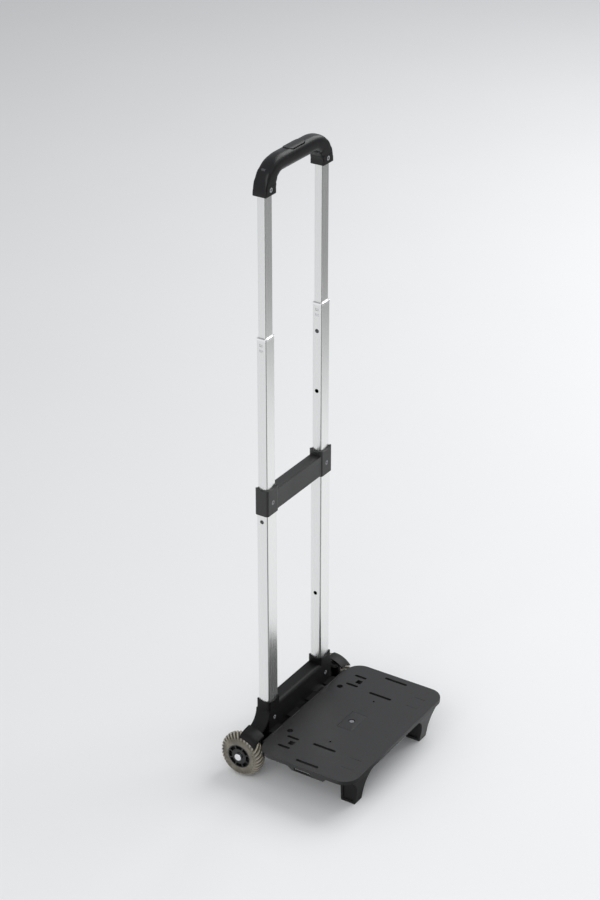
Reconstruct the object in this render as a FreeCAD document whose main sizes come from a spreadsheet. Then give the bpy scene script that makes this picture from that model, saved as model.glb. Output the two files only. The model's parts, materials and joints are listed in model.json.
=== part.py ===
# Folding platform cart: a telescopic two-post handle on a wheeled base, with a platform that folds up.
# Millimetres. +X runs along the axle, -Y points forward along the platform, +Z is up.
# The origin is on the floor, below the middle of the cart's outer box.
import FreeCAD, Part
import Sketcher
import math
import os
from types import SimpleNamespace

Vector = FreeCAD.Vector
Rotation = FreeCAD.Rotation
Placement = FreeCAD.Placement

doc = FreeCAD.newDocument("FoldingPlatformCart")
sheet = doc.addObject("Spreadsheet::Sheet", "Sizes")
nodes = {}

sizeTable = [
    # overall layout
    ("postSpacing", 140.0),
    ("hingeToFront", 162.4),
    ("hingeToPost", 18.9),
    ("postToAxle", 9.5),
    ("wheelRadius", 35.0),
    # telescopic tubes: outer width along X, outer depth along Y, outer corner radius
    ("lowerWidth", 25.0),
    ("lowerDepth", 18.2),
    ("lowerCorner", 2.5),
    ("tubeGapAcross", 1.4),
    ("tubeGapDeep", 0.4),
    ("middleCorner", 2.0),
    ("upperCorner", 1.6),
    ("tubeWall", 1.2),
    ("lowerTubeBottom", 46.0),
    ("middleTubeInside", 62.4),
    ("upperTubeInside", 61.0),
    ("middleStep", 683.0),
    ("capHeight", 3.0),
    ("capLip", 0.5),
    # base
    ("collarWidth", 29.4),
    ("collarDepth", 22.6),
    ("collarCorner", 4.0),
    ("collarTop", 104.4),
    ("hornHeight", 2.5),
    ("beamTop", 96.0),
    ("beamBottom", 52.0),
    ("collarBottom", 42.0),
    ("beamBack", 10.0),
    ("beamRound", 6.0),
    ("baseWall", 3.0),
    ("armReach", 25.3),
    ("armBottom", 25.0),
    ("armShoulder", 92.0),
    ("flareRadius", 24.0),
    ("flareWall", 3.0),
    ("flareRecess", 13.0),
    ("armStep", 55.0),
    ("armBack", 10.0),
    ("fenderGap", 2.5),
    ("fenderWall", 2.5),
    ("fenderSkin", 1.7),
    ("fenderFlat", 2.0),
    ("fenderDrop", 1.4),
    ("fenderKnee", 5.0),
    ("fenderKneeInset", 0.6),
    ("fenderKneeDrop", 3.1),
    ("fenderEdge", 9.5),
    ("fenderEdgeDrop", 6.6),
    ("fenderFront", 26.0),
    ("fenderRear", 0.4),
    # platform and hinge
    ("deckTop", 59.5),
    ("deckPlate", 3.5),
    ("deckHalfWidth", 137.0),
    ("deckCorner", 24.0),
    ("deckToHinge", 2.4),
    ("deckLip", 6.0),
    ("ribWidth", 2.0),
    ("ribDepth", 5.0),
    ("skirtDepth", 11.1),
    ("knuckleRadius", 2.0),
    ("hingePin", 0.95),
    ("hingeBore", 1.0),
    ("hingeHalf", 112.0),
    ("knuckleCount", 9),
    ("knuckleGap", 0.4),
    ("ledgeTop", 47.0),
    ("ledgeThickness", 3.0),
    ("ledgeReach", 6.0),
    ("deckHoleSpacing", 138.0),
    ("deckHole", 4.5),
    ("deckHoleFromHinge", 18.0),
    ("slotWidth", 4.6),
    ("shortSlotInner", 81.7),
    ("shortSlotOuter", 107.0),
    ("shortSlotLength", 20.0),
    ("shortSlotFromHinge", 31.6),
    ("longSlotInner", 78.3),
    ("longSlotOuter", 124.8),
    ("longSlotLength", 38.0),
    ("longSlotFromHinge", 82.8),
    ("squareHole", 9.0),
    ("squareHoleAcross", 94.0),
    ("squareHoleFromHinge", 36.6),
    ("smallHole", 1.7),
    ("smallHoleAcross", 61.0),
    ("smallHoleFromHinge", 82.0),
    ("rimWall", 1.6),
    ("firstRib", 12.0),
    ("secondRib", 58.0),
    ("thirdRib", 108.0),
    ("innerRib", 20.0),
    ("outerRib", 62.0),
    ("skirtWall", 3.0),
    ("skirtRear", 54.0),
    ("skirtRearFoot", 64.0),
    ("skirtFrontFoot", 117.0),
    ("skirtFront", 125.0),
    ("skirtSlotRear", 68.0),
    ("skirtSlotLength", 27.0),
    ("skirtSlotHeight", 3.6),
    ("skirtSlotRise", 1.6),
    # feet
    ("footInner", 83.0),
    ("footOuter", 102.0),
    ("footFrontBottom", 13.3),
    ("footRearBottom", 36.3),
    ("footFrontTop", 3.4),
    ("footRearTop", 38.5),
    ("webThickness", 3.0),
    ("webOuter", 124.0),
    ("archRadius", 33.0),
    ("scoopRadius", 40.0),
    ("scoopDrop", 36.0),
    ("panelDepth", 2.0),
    ("panelMargin", 4.0),
    # wheels
    ("wheelFromArm", 13.0),
    ("wheelWidth", 22.0),
    ("hubRadius", 18.7),
    ("bearingRadius", 11.0),
    ("bearingBore", 4.0),
    ("bearingWidth", 7.0),
    ("axleRadius", 3.95),
    ("axleCapRadius", 5.5),
    ("axleCapWidth", 2.4),
    ("washer", 0.9),
    ("windowInner", 12.2),
    ("windowOuter", 17.2),
    ("windowDepth", 5.0),
    ("spokeWidth", 1.8),
    ("spokeCount", 8),
    ("treadCrown", 13.0),
    ("bearingLip", 2.5),
    ("spacerWall", 2.0),
    ("hubClearance", 0.2),
    # cross brace
    ("braceBottom", 414.3),
    ("braceTop", 452.4),
    ("braceWidth", 28.6),
    ("braceDepth", 21.8),
    ("braceBarBottom", 416.5),
    ("braceBarTop", 447.0),
    ("braceBarDepth", 17.6),
    ("braceLip", 10.0),
    # handle
    ("gripTop", 933.6),
    ("gripBottom", 910.0),
    ("blockBottom", 885.7),
    ("blockOuter", 83.0),
    ("blockWidth", 25.6),
    ("handleDepth", 21.6),
    ("handleOuterBend", 35.0),
    ("handleInnerBend", 17.0),
    ("handleRound", 6.0),
    ("tubeInBlock", 8.0),
    ("buttonLength", 40.0),
    ("buttonWidth", 15.6),
    ("buttonDepth", 7.0),
    ("buttonProud", 0.9),
    ("buttonTravel", 4.0),
    ("buttonGap", 0.5),
    ("barHeight", 4.0),
    ("barDepth", 6.0),
    ("rodRadius", 2.4),
    # locks
    ("pinRadius", 2.9),
    ("pinHole", 3.1),
    ("pinProud", 0.4),
    ("upperLockRise", 18.5),
    ("upperRestHeight", 547.8),
    ("middleLockRise", 13.3),
    ("middleRestHeight", 217.0),
    ("lockBlockHeight", 32.0),
    ("pinReach", 4.0),
    ("blockBack", 2.0),
    ("springWire", 0.3),
    # fits
    ("slip", 0.2),
    ("running", 0.3),
    # fasteners
    ("screwHead", 3.3),
    ("screwShank", 1.6),
    ("screwHeadHeight", 1.2),
    ("screwSink", 0.9),
    ("braceScrewHeight", 432.0),
    ("baseScrewHeight", 75.0),
    ("handleScrewHeight", 893.5),
    ("rivetRadius", 3.5),
    ("rivetRecess", 5.0),
    ("rivetFromHinge", 81.1),
]

for row, (alias, number) in enumerate(sizeTable, 1):
    sheet.set(f"A{row}", alias)
    sheet.set(f"B{row}", str(number))
    sheet.setAlias(f"B{row}", alias)
doc.recompute()


class Size:
    """A length that knows its number and the sheet expression that gives it."""

    def __init__(self, text, number):
        self.text = text
        self.number = number

    def __add__(self, other):
        other = size(other)
        return Size(f"({self.text} + {other.text})", self.number + other.number)

    def __sub__(self, other):
        other = size(other)
        return Size(f"({self.text} - {other.text})", self.number - other.number)

    def __mul__(self, other):
        other = size(other)
        return Size(f"({self.text} * {other.text})", self.number * other.number)

    def __truediv__(self, other):
        other = size(other)
        return Size(f"({self.text} / {other.text})", self.number / other.number)

    def __neg__(self):
        return Size(f"(-1 * {self.text})", -self.number)

    def __radd__(self, other):
        return size(other) + self

    def __rsub__(self, other):
        return size(other) - self

    def __rmul__(self, other):
        return size(other) * self


def size(value):
    return value if isinstance(value, Size) else Size(repr(float(value)), float(value))


s = SimpleNamespace(**{alias: Size(f"Sizes.{alias}", float(sheet.get(alias))) for alias, number in sizeTable})

# Places that follow from the driving sizes
postX = s.postSpacing / 2
frontY = -(s.hingeToFront + s.hingeToPost + s.postToAxle + s.wheelRadius) / 2
hingeY = frontY + s.hingeToFront
hingeZ = s.deckTop - s.knuckleRadius
deckLow = s.deckTop - s.deckPlate
postY = hingeY + s.hingeToPost
axleY = postY + s.postToAxle
axleZ = s.wheelRadius
# each tube runs inside the next one, with a gap on both sides of its wall
middleWidth = s.lowerWidth - 2 * s.tubeWall - s.tubeGapAcross
middleDepth = s.lowerDepth - 2 * s.tubeWall - s.tubeGapDeep
upperWidth = middleWidth - 2 * s.tubeWall - s.tubeGapAcross
upperDepth = middleDepth - 2 * s.tubeWall - s.tubeGapDeep
middleTubeBottom = s.braceTop - s.middleTubeInside
upperTubeBottom = s.middleStep - s.upperTubeInside
upperLockHeight = upperTubeBottom + s.upperLockRise
middleLockHeight = middleTubeBottom + s.middleLockRise
frontFace = postY - s.collarDepth / 2
collarOuter = postX + s.collarWidth / 2
armOuter = collarOuter + s.armReach
wheelCentre = armOuter + s.wheelFromArm
sides = (("left", -1), ("right", 1))


def bind(thing, name, value):
    thing.setExpression(name, size(value).text)


def placed(thing, x, y, z, axis=None):
    turns = {"x": Rotation(Vector(0, 1, 0), 90), "y": Rotation(Vector(1, 0, 0), -90)}
    if axis in turns:
        thing.Placement.Rotation = turns[axis]
    for letter, value in zip("xyz", (x, y, z)):
        bind(thing, f"Placement.Base.{letter}", value)
    return thing


def block(name, low, high):
    box = doc.addObject("Part::Box", name)
    for prop, a, b in zip(("Length", "Width", "Height"), low, high):
        bind(box, prop, size(b) - a)
    return placed(box, *low)


def sideBlock(name, side, inner, outer, y, z):
    if side > 0:
        return block(name, (inner, y[0], z[0]), (outer, y[1], z[1]))
    return block(name, (-size(outer), y[0], z[0]), (-size(inner), y[1], z[1]))


def cylinder(name, axis, start, radius, length):
    rod = doc.addObject("Part::Cylinder", name)
    bind(rod, "Radius", radius)
    bind(rod, "Height", length)
    return placed(rod, *start, axis)


def ring(name, axis, start, outer, inner, length):
    return cut(name, cylinder(name + "Outside", axis, start, outer, length),
               cylinder(name + "Bore", axis, start, inner, length))


def fuse(name, *parts):
    whole = doc.addObject("Part::MultiFuse", name)
    whole.Shapes = list(parts)
    whole.Refine = True
    return whole


def group(name, *parts):
    together = doc.addObject("Part::Compound", name)
    together.Links = list(parts)
    return together


def cut(name, base, *tools):
    result = doc.addObject("Part::Cut", name)
    result.Base = base
    result.Tool = tools[0] if len(tools) == 1 else group(name + "Tools", *tools)
    result.Refine = True
    return result


def mirrored(name, source):
    copy = doc.addObject("Part::Mirroring", name)
    copy.Source = source
    copy.Normal = Vector(1, 0, 0)
    return copy


def keep(label, thing):
    thing.Label = label
    nodes[label] = thing
    return thing


def originPlane(body, role):
    return next(f for f in body.Origin.OriginFeatures if f.Role == role)


def newSketch(name, body=None, role="XY_Plane"):
    if body is None:
        return doc.addObject("Sketcher::SketchObject", name)
    sketch = body.newObject("Sketcher::SketchObject", name)
    sketch.AttachmentSupport = [(originPlane(body, role), "")]
    sketch.MapMode = "FlatFace"
    return sketch


def tie(sketch, kind, *where, value):
    number = sketch.addConstraint(Sketcher.Constraint(kind, *where, size(value).number))
    sketch.setExpression(f"Constraints[{number}]", size(value).text)


def drawPolygon(sketch, corners):
    first = sketch.GeometryCount
    points = [Vector(size(a).number, size(b).number, 0) for a, b in corners]
    count = len(points)
    for i in range(count):
        sketch.addGeometry(Part.LineSegment(points[i], points[(i + 1) % count]))
    for i in range(count):
        sketch.addConstraint(Sketcher.Constraint("Coincident", first + i, 2, first + (i + 1) % count, 1))
    for i, (a, b) in enumerate(corners):
        tie(sketch, "DistanceX", -1, 1, first + i, 1, value=a)
        tie(sketch, "DistanceY", -1, 1, first + i, 1, value=b)


def drawCircle(sketch, x, y, radius):
    number = sketch.addGeometry(Part.Circle(Vector(size(x).number, size(y).number, 0), Vector(0, 0, 1),
                                            size(radius).number))
    tie(sketch, "Radius", number, value=radius)
    tie(sketch, "DistanceX", -1, 1, number, 3, value=x)
    tie(sketch, "DistanceY", -1, 1, number, 3, value=y)


def drawRoundedRectangle(sketch, x, y, width, depth, radius):
    # four arcs whose centres are tied to the origin, joined by four tangent lines
    first = sketch.GeometryCount
    x, y, width, depth, radius = (size(v) for v in (x, y, width, depth, radius))
    centres = []
    for i, (sx, sy) in enumerate(((1, 1), (-1, 1), (-1, -1), (1, -1))):
        cx = x + sx * (width / 2 - radius)
        cy = y + sy * (depth / 2 - radius)
        centres.append((cx, cy))
        circle = Part.Circle(Vector(cx.number, cy.number, 0), Vector(0, 0, 1), radius.number)
        sketch.addGeometry(Part.ArcOfCircle(circle, i * math.pi / 2, (i + 1) * math.pi / 2))
    for i in range(4):
        start = sketch.getPoint(first + i, 2)
        end = sketch.getPoint(first + (i + 1) % 4, 1)
        line = sketch.addGeometry(Part.LineSegment(start, end))
        sketch.addConstraint(Sketcher.Constraint("Tangent", first + i, 2, line, 1))
        sketch.addConstraint(Sketcher.Constraint("Tangent", line, 2, first + (i + 1) % 4, 1))
    for i, (cx, cy) in enumerate(centres):
        tie(sketch, "DistanceX", -1, 1, first + i, 3, value=cx)
        tie(sketch, "DistanceY", -1, 1, first + i, 3, value=cy)
    tie(sketch, "Radius", first, value=radius)
    for i in (1, 2):
        sketch.addConstraint(Sketcher.Constraint("Equal", first, first + i))


def extruded(name, sketch, length, along=None):
    solid = doc.addObject("Part::Extrusion", name)
    solid.Base = sketch
    solid.DirMode = "Normal" if along is None else "Custom"
    if along is not None:
        solid.Dir = along
    bind(solid, "LengthFwd", length)
    solid.Solid = True
    return solid


def roundedBar(name, x, y, low, high, width, depth, radius):
    sketch = newSketch(name + "Outline")
    drawRoundedRectangle(sketch, 0, 0, width, depth, radius)
    placed(sketch, x, y, low)
    return extruded(name, sketch, size(high) - low, Vector(0, 0, 1))


def sideProfile(name, corners, x, length):
    # corners are (y, z), the solid runs along +X from x
    sketch = newSketch(name + "Profile")
    drawPolygon(sketch, corners)
    sketch.Placement.Rotation = Rotation(Vector(0, 1, 0), Vector(0, 0, 1), Vector(1, 0, 0), "XYZ")
    bind(sketch, "Placement.Base.x", x)
    return extruded(name, sketch, length, Vector(1, 0, 0))


def made(name, shape):
    thing = doc.addObject("Part::Feature", name)
    thing.Shape = shape
    return thing


def coil(name, height, radius, wire, turns):
    """Round wire spring standing on the origin."""
    helix = Part.makeLongHelix(height / turns, height, radius)
    section = Part.Wire(Part.makeCircle(wire, Vector(radius, 0, 0), Vector(0, 1, 0)))
    return made(name, Part.Wire(helix.Edges).makePipeShell([section], True, True))


def turned(name, corners, x):
    """Solid of revolution about the axle. Corners are (distance from the wheel's middle, radius)."""
    body = doc.addObject("PartDesign::Body", name + "Body")
    sketch = newSketch(name + "Section", body, "XY_Plane")
    drawPolygon(sketch, corners)
    whole = body.newObject("PartDesign::Revolution", name + "Turn")
    whole.Profile = sketch
    whole.ReferenceAxis = (sketch, ["H_Axis"])
    whole.Angle = 360
    placed(body, x, axleY, axleZ)
    return body


# ---- screws ----

def screws(label, seatY, height, tipY):
    """A pair of screws, one on each post's middle plane, with its head standing on the seat."""
    found = []
    for name, side in sides:
        head = cylinder(f"{label}Head{name}", "y", (side * postX, seatY - s.screwHeadHeight, height), s.screwHead,
                        s.screwHeadHeight)
        shank = cylinder(f"{label}Shank{name}", "y", (side * postX, seatY - 0.5, height), s.screwShank,
                         tipY - seatY + 0.5)
        found.append(fuse(f"{label}{name}", head, shank))
    keep(label, group(label + "Group", *found))


def screwHoles(label, seatY, height, tipY, headRadius):
    """What a pair of screws takes out of the piece that they hold."""
    tools = []
    for name, side in sides:
        tools.append(cylinder(f"{label}Seat{name}", "y", (side * postX, seatY - 10, height), headRadius, 10))
        tools.append(cylinder(f"{label}Hole{name}", "y", (side * postX, seatY - 1, height), s.screwShank,
                              tipY - seatY + 2))
    return tools


# ---- telescopic tubes ----

def tube(label, side, width, depth, corner, bottom, top, holes, screwHeights=()):
    """A rounded square tube. Each hole is (height, facing, radius): facing +1 opens outward, -1 inward."""
    body = doc.addObject("PartDesign::Body", label + "Body")
    outline = newSketch(label + "Outline", body)
    drawRoundedRectangle(outline, 0, 0, width, depth, corner)
    drawRoundedRectangle(outline, 0, 0, width - 2 * s.tubeWall, depth - 2 * s.tubeWall, corner - s.tubeWall)
    pad = body.newObject("PartDesign::Pad", label + "Pad")
    pad.Profile = outline
    bind(pad, "Length", top - bottom)
    for number, (height, facing, radius) in enumerate(holes):
        hole = newSketch(f"{label}Hole{number}", body, "YZ_Plane")
        drawCircle(hole, 0, height - bottom, radius)
        pocket = body.newObject("PartDesign::Pocket", f"{label}Pocket{number}")
        pocket.Profile = hole
        pocket.Reversed = side * facing > 0
        bind(pocket, "Length", width)
    for number, height in enumerate(screwHeights):
        hole = newSketch(f"{label}ScrewHole{number}", body, "XZ_Plane")
        drawCircle(hole, 0, height - bottom, s.screwShank)
        pocket = body.newObject("PartDesign::Pocket", f"{label}ScrewPocket{number}")
        pocket.Profile = hole
        pocket.Reversed = True
        bind(pocket, "Length", depth)
    placed(body, side * postX, postY, bottom)
    return keep(label, body)


middleTop = s.middleStep - s.capHeight
lowerTop = s.braceTop - s.braceLip
upperTop = s.blockBottom + s.tubeInBlock
for name, side in sides:
    tube(f"lower_tube_{name}", side, s.lowerWidth, s.lowerDepth, s.lowerCorner, s.lowerTubeBottom, lowerTop,
         [(middleLockHeight, 1, s.pinHole), (s.middleRestHeight, -1, s.pinHole)],
         (s.braceScrewHeight, s.baseScrewHeight))
    tube(f"middle_tube_{name}", side, middleWidth, middleDepth, s.middleCorner, middleTubeBottom,
         middleTop, [(upperLockHeight, -1, s.pinHole), (s.upperRestHeight, -1, s.pinHole),
                     (middleLockHeight, 1, s.pinHole)])
    tube(f"upper_tube_{name}", side, upperWidth, upperDepth, s.upperCorner, upperTubeBottom, upperTop,
         [(upperLockHeight, -1, s.pinHole)], (s.handleScrewHeight,))

    # metal collar ring on the mouth of the middle tube, bored for the upper tube
    x = side * postX
    outside = roundedBar(f"capOutside{name}", x, postY, middleTop, s.middleStep, middleWidth + 2 * s.capLip,
                         middleDepth + 2 * s.capLip, s.middleCorner + s.capLip)
    inside = roundedBar(f"capBore{name}", x, postY, middleTop, s.middleStep, upperWidth + 2 * s.slip,
                        upperDepth + s.slip, s.upperCorner + s.slip / 2)
    keep(f"middle_cap_{name}", cut(f"cap{name}", outside, inside))


# ---- locks inside the tubes ----

def insideWidth(width):
    return width - 2 * s.tubeWall - s.slip


def lockBlock(label, side, facing, width, depth, corner, lockHeight, tubeBottom, rodHole):
    """Plastic block in a tube's foot, with a blind bore for the spring pin."""
    x = side * postX
    across = insideWidth(width)
    low = tubeBottom + 1
    top = low + s.lockBlockHeight
    solid = roundedBar(label + "Solid", x, postY, low, top, across, depth - 2 * s.tubeWall - s.slip,
                       corner - s.tubeWall)
    start = x - across / 2 if side * facing < 0 else x - across / 2 + s.blockBack
    bores = [cylinder(label + "Bore", "x", (start, postY, lockHeight), s.pinRadius + 0.06, across - s.blockBack)]
    if rodHole:
        bores.append(cylinder(label + "RodHole", "z", (x, postY, lockHeight + s.pinRadius + 1),
                              s.rodRadius + 0.1, top - lockHeight))
    return keep(label, cut(label + "Cut", solid, *bores))


def lockPin(label, side, facing, width, lockHeight):
    """Pin whose tip stands just proud of its own tube, with a coil spring between it and the block."""
    outward = side * facing
    tip = side * postX + outward * (width / 2 + s.pinProud)
    length = s.tubeWall + s.slip / 2 + s.pinProud + s.pinReach
    start = tip - length if outward > 0 else tip
    keep(label, cylinder(label + "Pin", "x", (start, postY, lockHeight), s.pinRadius, length))
    back = (tip - outward * length).number
    seat = (side * postX - outward * (insideWidth(width) / 2 - s.blockBack)).number
    wire = s.springWire.number
    spring = coil(label + "Coil", abs(back - seat) - 2 * wire - 0.1, s.pinRadius.number - 2 * wire, wire, 4)
    spring.Placement = Placement(Vector(min(back, seat) + wire + 0.05, postY.number, lockHeight.number),
                                 Rotation(Vector(0, 1, 0), 90))
    keep(label.replace("lock_pin", "pin_spring"), spring)


for name, side in sides:
    lockBlock(f"upper_lock_block_{name}", side, -1, upperWidth, upperDepth, s.upperCorner,
              upperLockHeight, upperTubeBottom, True)
    lockBlock(f"middle_lock_block_{name}", side, 1, middleWidth, middleDepth, s.middleCorner,
              middleLockHeight, middleTubeBottom, False)
    lockPin(f"upper_lock_pin_{name}", side, -1, upperWidth, upperLockHeight)
    lockPin(f"middle_lock_pin_{name}", side, 1, middleWidth, middleLockHeight)


# ---- handle ----

def handleSolid():
    """Grip with a block at each end: one outline with round bends, pushed along Y and rounded."""
    bottom, grip, top = s.blockBottom.number, s.gripBottom.number, s.gripTop.number
    outer = s.blockOuter.number
    inner = outer - s.blockWidth.number
    big, small = s.handleOuterBend.number, s.handleInnerBend.number
    depth = s.handleDepth.number
    low = postY.number - depth / 2

    def at(x, z):
        return Vector(x, low, z)

    def bend(centreX, centreZ, radius, start, end):
        middle = math.radians((start + end) / 2)
        points = [(centreX + radius * math.cos(math.radians(a)), centreZ + radius * math.sin(math.radians(a)))
                  for a in (start, math.degrees(middle), end)]
        return Part.Arc(*(at(*p) for p in points)).toShape()

    edges = [
        Part.makeLine(at(-outer, bottom), at(-outer, top - big)),
        bend(-outer + big, top - big, big, 180, 90),
        Part.makeLine(at(-outer + big, top), at(outer - big, top)),
        bend(outer - big, top - big, big, 90, 0),
        Part.makeLine(at(outer, top - big), at(outer, bottom)),
        Part.makeLine(at(outer, bottom), at(inner, bottom)),
        Part.makeLine(at(inner, bottom), at(inner, grip - small)),
        bend(inner - small, grip - small, small, 0, 90),
        Part.makeLine(at(inner - small, grip), at(-inner + small, grip)),
        bend(-inner + small, grip - small, small, 90, 180),
        Part.makeLine(at(-inner, grip - small), at(-inner, bottom)),
        Part.makeLine(at(-inner, bottom), at(-outer, bottom)),
    ]
    solid = Part.Face(Part.Wire(edges)).extrude(Vector(0, depth, 0))
    middleY = postY.number
    lengthwise = [e for e in solid.Edges
                  if abs(abs(e.CenterOfMass.y - middleY) - depth / 2) < 0.01 and e.BoundBox.ZMax > bottom + 0.1]
    return solid.makeFillet(s.handleRound.number, lengthwise)


rest = s.running
barTop = s.gripTop - 12.6
barBottom = barTop - s.barHeight
cavityBottom = barBottom - s.buttonTravel - rest
barHalf = postX + s.rodRadius
cavityHalf = barHalf + rest
grip = made("gripSolid", handleSolid())
handleSeat = postY - s.handleDepth / 2 + s.screwSink
handleTip = postY - upperDepth / 2 + s.tubeWall + 1
handleScrewHoles = screwHoles("handleScrew", handleSeat, s.handleScrewHeight, handleTip, s.screwHead + s.slip)
screws("handle_screws", handleSeat, s.handleScrewHeight, handleTip)
barCavity = block("barCavity", (-cavityHalf, postY - s.barDepth / 2 - rest, cavityBottom),
                  (cavityHalf, postY + s.barDepth / 2 + rest, barTop + rest))
capBottom = s.gripTop - s.buttonDepth
stemHalf = s.buttonLength / 2 - 5
stemDepth = s.barDepth - 0.6
stemSlot = block("stemSlot", (-stemHalf - rest, postY - stemDepth / 2 - rest, barTop),
                 (stemHalf + rest, postY + stemDepth / 2 + rest, capBottom))
buttonWell = roundedBar("buttonWell", 0, postY, capBottom - s.buttonTravel - rest, s.gripTop + 5, s.buttonLength + 2 * s.buttonGap,
                        s.buttonWidth + 2 * s.buttonGap, s.buttonWidth / 2 + s.buttonGap - 0.01)
coverLength = 2 * (s.blockOuter - s.blockWidth - s.handleInnerBend - 2)
coverDepth = s.handleDepth - 2 * s.handleRound - 1
coverSeat = roundedBar("coverSeat", 0, postY, s.gripBottom - 1, cavityBottom + 0.01, coverLength + 0.2,
                       coverDepth + 0.2, 2.1)
sockets = []
for name, side in sides:
    sockets.append(roundedBar(f"gripSocket{name}", side * postX, postY, s.blockBottom - 1, upperTop,
                              upperWidth, upperDepth, s.upperCorner))
    sockets.append(cylinder(f"rodPassage{name}", "z", (side * postX, postY, upperTop - 1), s.rodRadius + 0.8,
                            barTop - upperTop + 1))
keep("handle_grip", cut("handleGrip", grip, barCavity, stemSlot, buttonWell, coverSeat, *sockets, *handleScrewHoles))
keep("handle_cover", roundedBar("handleCover", 0, postY, s.gripBottom, cavityBottom, coverLength, coverDepth, 2))
buttonTop = s.gripTop + s.buttonProud
buttonCap = roundedBar("buttonCap", 0, postY, capBottom, buttonTop, s.buttonLength, s.buttonWidth,
                       s.buttonWidth / 2 - 0.01)
buttonStem = block("buttonStem", (-stemHalf, postY - stemDepth / 2, barTop), (stemHalf, postY + stemDepth / 2, capBottom + 1))
keep("release_button", fuse("releaseButton", buttonCap, buttonStem))
keep("push_bar", block("pushBar", (-barHalf, postY - s.barDepth / 2, barBottom),
                       (barHalf, postY + s.barDepth / 2, barTop)))

rodBottom = upperLockHeight + s.pinRadius + 1 + s.buttonTravel + rest
blockTop = upperTubeBottom + 1 + s.lockBlockHeight
springTop = blockTop + 34
rods, springs = [], []
for name, side in sides:
    shaft = cylinder(f"releaseShaft{name}", "z", (side * postX, postY, rodBottom), s.rodRadius,
                     barBottom - rodBottom)
    flange = cylinder(f"releaseFlange{name}", "z", (side * postX, postY, springTop), s.rodRadius + 2, 2)
    rods.append(fuse(f"releaseRod{name}", shaft, flange))
    spring = coil(f"releaseCoil{name}", (springTop - blockTop).number - 1.2, s.rodRadius.number + 1.3, 0.5, 9)
    spring.Placement = Placement(Vector((side * postX).number, postY.number, blockTop.number + 0.6), Rotation())
    springs.append(spring)
keep("release_rods", group("releaseRods", *rods))
keep("release_springs", group("releaseSprings", *springs))


# ---- cross brace ----

def hornCutter(name, x, top, width, depth, rise):
    """Long cylinders that scoop each side of a socket's mouth and leave its corners standing."""
    tools = []
    for axis, span, length in (("y", width, depth), ("x", depth, width)):
        half = (span / 2 - 3).number
        radius = (half * half + rise.number ** 2) / (2 * rise.number)
        start = (x, postY - length / 2 - 1, top - rise + radius) if axis == "y" else (
            x - length / 2 - 1, postY, top - rise + radius)
        tools.append(cylinder(name + axis, axis, start, radius, length + 2))
    return tools


socketTop = s.braceTop + s.hornHeight
braceParts, braceTools = [], []
for name, side in sides:
    x = side * postX
    braceParts.append(roundedBar(f"braceSocket{name}", x, postY, s.braceBottom, socketTop, s.braceWidth,
                                 s.braceDepth, s.collarCorner))
    braceTools += hornCutter(f"braceHorn{name}", x, socketTop, s.braceWidth, s.braceDepth, s.hornHeight)
    braceTools.append(roundedBar(f"braceSeat{name}", x, postY, s.braceBottom - 1, lowerTop, s.lowerWidth,
                                 s.lowerDepth, s.lowerCorner))
    braceTools.append(roundedBar(f"braceMouth{name}", x, postY, lowerTop - 1, socketTop + 1,
                                 middleWidth + 2 * s.slip, middleDepth + 2 * s.slip, s.middleCorner + s.slip))
braceSeat = postY - s.braceDepth / 2 + s.screwSink
braceTip = postY - s.lowerDepth / 2 + s.tubeWall
braceTools += screwHoles("braceScrew", braceSeat, s.braceScrewHeight, braceTip, s.screwHead + s.slip)
screws("brace_screws", braceSeat, s.braceScrewHeight, braceTip)
barFront = postY - s.braceBarDepth / 2 - 0.8
braceParts.append(block("braceBar", (-postX, barFront, s.braceBarBottom),
                        (postX, barFront + s.braceBarDepth, s.braceBarTop)))
braceTools.append(block("braceHollow", (-postX + s.braceWidth / 2, barFront + s.baseWall, s.braceBarBottom + s.baseWall),
                        (postX - s.braceWidth / 2, postY + s.braceDepth, s.braceBarTop - s.baseWall)))
keep("cross_brace", cut("crossBrace", fuse("braceWhole", *braceParts), *braceTools))


# ---- base frame ----

collarHornTop = s.collarTop + s.hornHeight
fenderTop = s.wheelRadius + s.fenderGap + s.fenderWall
fenderStart = armOuter - s.baseWall - wheelCentre
fenderBend = armOuter + s.fenderFlat - wheelCentre
fenderSection = [
    (fenderStart, fenderTop), (fenderBend, fenderTop), (size(0), fenderTop - s.fenderDrop),
    (s.fenderKnee, fenderTop - s.fenderKneeDrop), (s.fenderEdge, fenderTop - s.fenderEdgeDrop),
    (s.fenderEdge, fenderTop - s.fenderEdgeDrop - s.fenderSkin),
    (s.fenderKnee - s.fenderKneeInset, fenderTop - s.fenderKneeDrop - s.fenderSkin),
    (size(0), fenderTop - s.fenderDrop - s.fenderSkin), (fenderBend, fenderTop - s.fenderWall),
    (fenderStart, fenderTop - s.fenderWall),
]
beamBackFace = postY + s.beamBack
beam = fuse("beam",
            block("beamLower", (-postX, frontFace, s.beamBottom), (postX, beamBackFace, s.beamTop - s.beamRound)),
            block("beamUpper", (-postX, frontFace + s.beamRound, s.beamTop - 2 * s.beamRound),
                  (postX, beamBackFace, s.beamTop)),
            cylinder("beamEdge", "x", (-postX, frontFace + s.beamRound, s.beamTop - s.beamRound), s.beamRound,
                     2 * postX))
beamHollow = block("beamHollow", (-postX + s.collarWidth / 2, frontFace + s.baseWall, s.beamBottom - 1),
                   (postX - s.collarWidth / 2, postY + s.beamBack - s.baseWall, s.beamTop - s.beamRound))
baseParts = [cut("beamShell", beam, beamHollow)]
baseTools = []
armInner = collarOuter - s.baseWall
backFace = postY + s.collarDepth / 2
armLength = s.collarDepth + 4
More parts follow.
